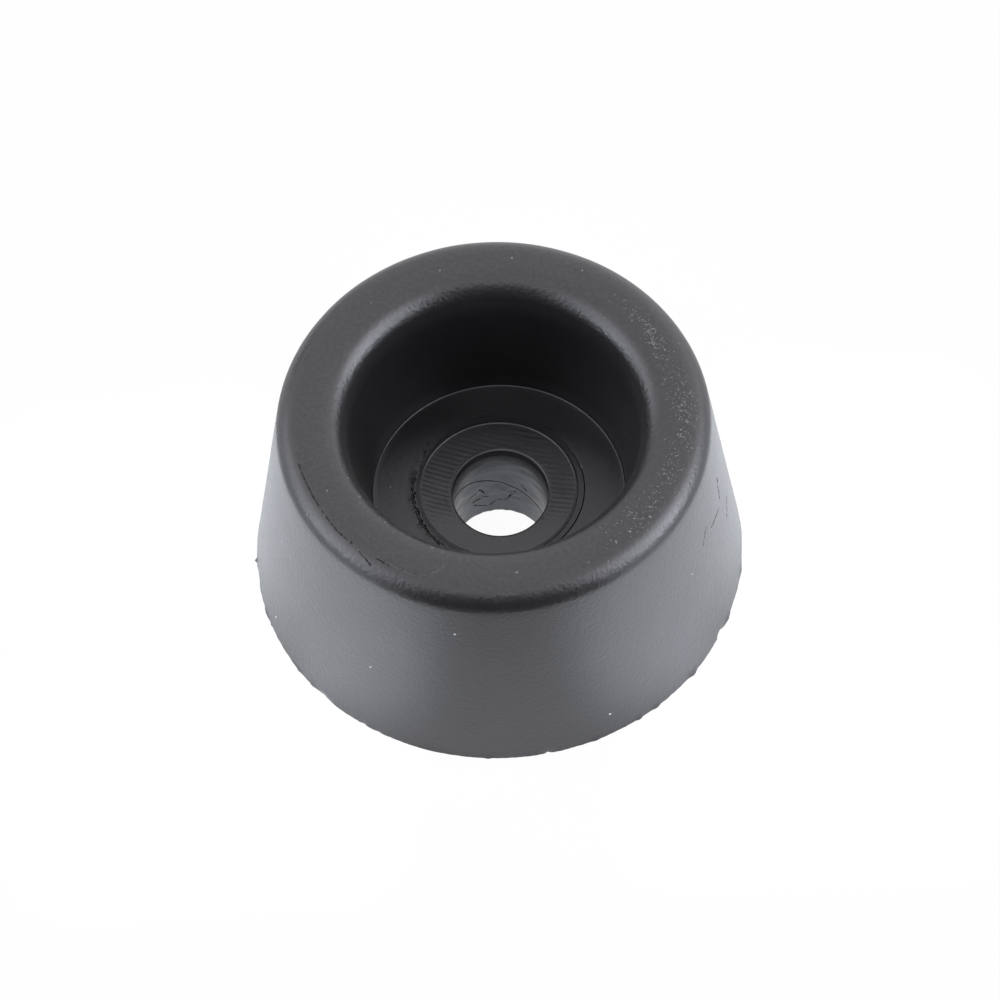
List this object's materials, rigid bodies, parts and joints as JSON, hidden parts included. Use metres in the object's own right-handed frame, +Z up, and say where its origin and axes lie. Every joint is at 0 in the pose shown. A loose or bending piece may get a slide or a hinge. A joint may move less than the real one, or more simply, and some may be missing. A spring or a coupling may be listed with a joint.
{
  "type": "rubber foot",
  "caption": "Moulded rubber foot: a truncated cone with a rounded rim round a deep recess, whose stepped floor has a screw hole through to the flat mounting face.",
  "frame": {"origin": "centre of the flat mounting face, on the axis of the screw hole", "axes": "+Z up the axis from the mounting face to the tread face; the part is round, so X and Y are free"},
  "size_m": [0.03, 0.03, 0.0155],
  "materials": {
    "black_rubber": "matt moulded rubber with a fine grain, light dust and trimmed moulding flash"
  },
  "bodies": {
    "root": {"rubber_foot": "black_rubber"}
  },
  "joints": []
}
